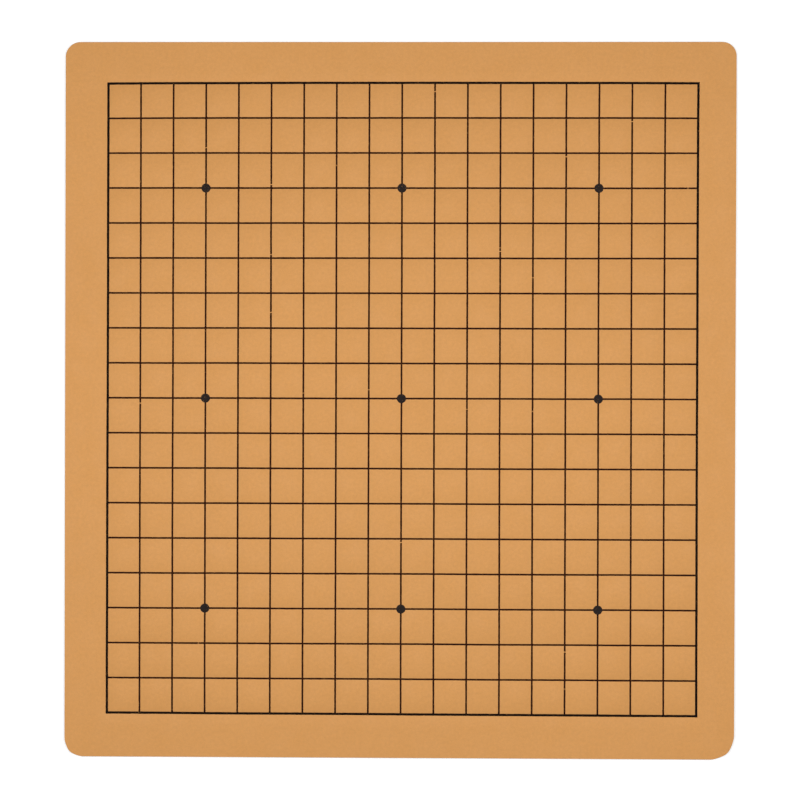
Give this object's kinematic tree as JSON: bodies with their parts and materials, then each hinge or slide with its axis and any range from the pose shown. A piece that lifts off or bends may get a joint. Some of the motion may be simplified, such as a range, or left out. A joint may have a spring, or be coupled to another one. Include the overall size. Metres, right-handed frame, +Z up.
{
  "type": "go board",
  "caption": "Flat leatherette roll-up sheet for the game of Go, with a ruled grid, star points and rounded corners, on a suede back.",
  "frame": {"origin": "middle of the underside, on the table", "axes": "+X to the right of the picture, +Y to its top, +Z up out of the playing side"},
  "size_m": [0.4506, 0.4812, 0.002],
  "materials": {
    "leatherette": "tan polyurethane film with a fine matt nap",
    "carrier_cloth": "pale woven carrier cloth, seen only at the cut edge",
    "bonded_fibre": "brown bonded leather fibre, seen only at the cut edge",
    "glue_film": "clear yellowish contact adhesive",
    "suede_back": "brushed microfibre suede",
    "black_print": "matt black screen print",
    "brown_black_print": "matt brown-black screen print"
  },
  "bodies": {
    "root": {"back_suede": "suede_back", "lower_glue": "glue_film", "core_sheet": "bonded_fibre", "upper_glue": "glue_film", "face_cloth": "carrier_cloth", "face_film": "leatherette", "border_line": "black_print", "grid_lines": "brown_black_print", "star_points": "brown_black_print"}
  },
  "joints": []
}
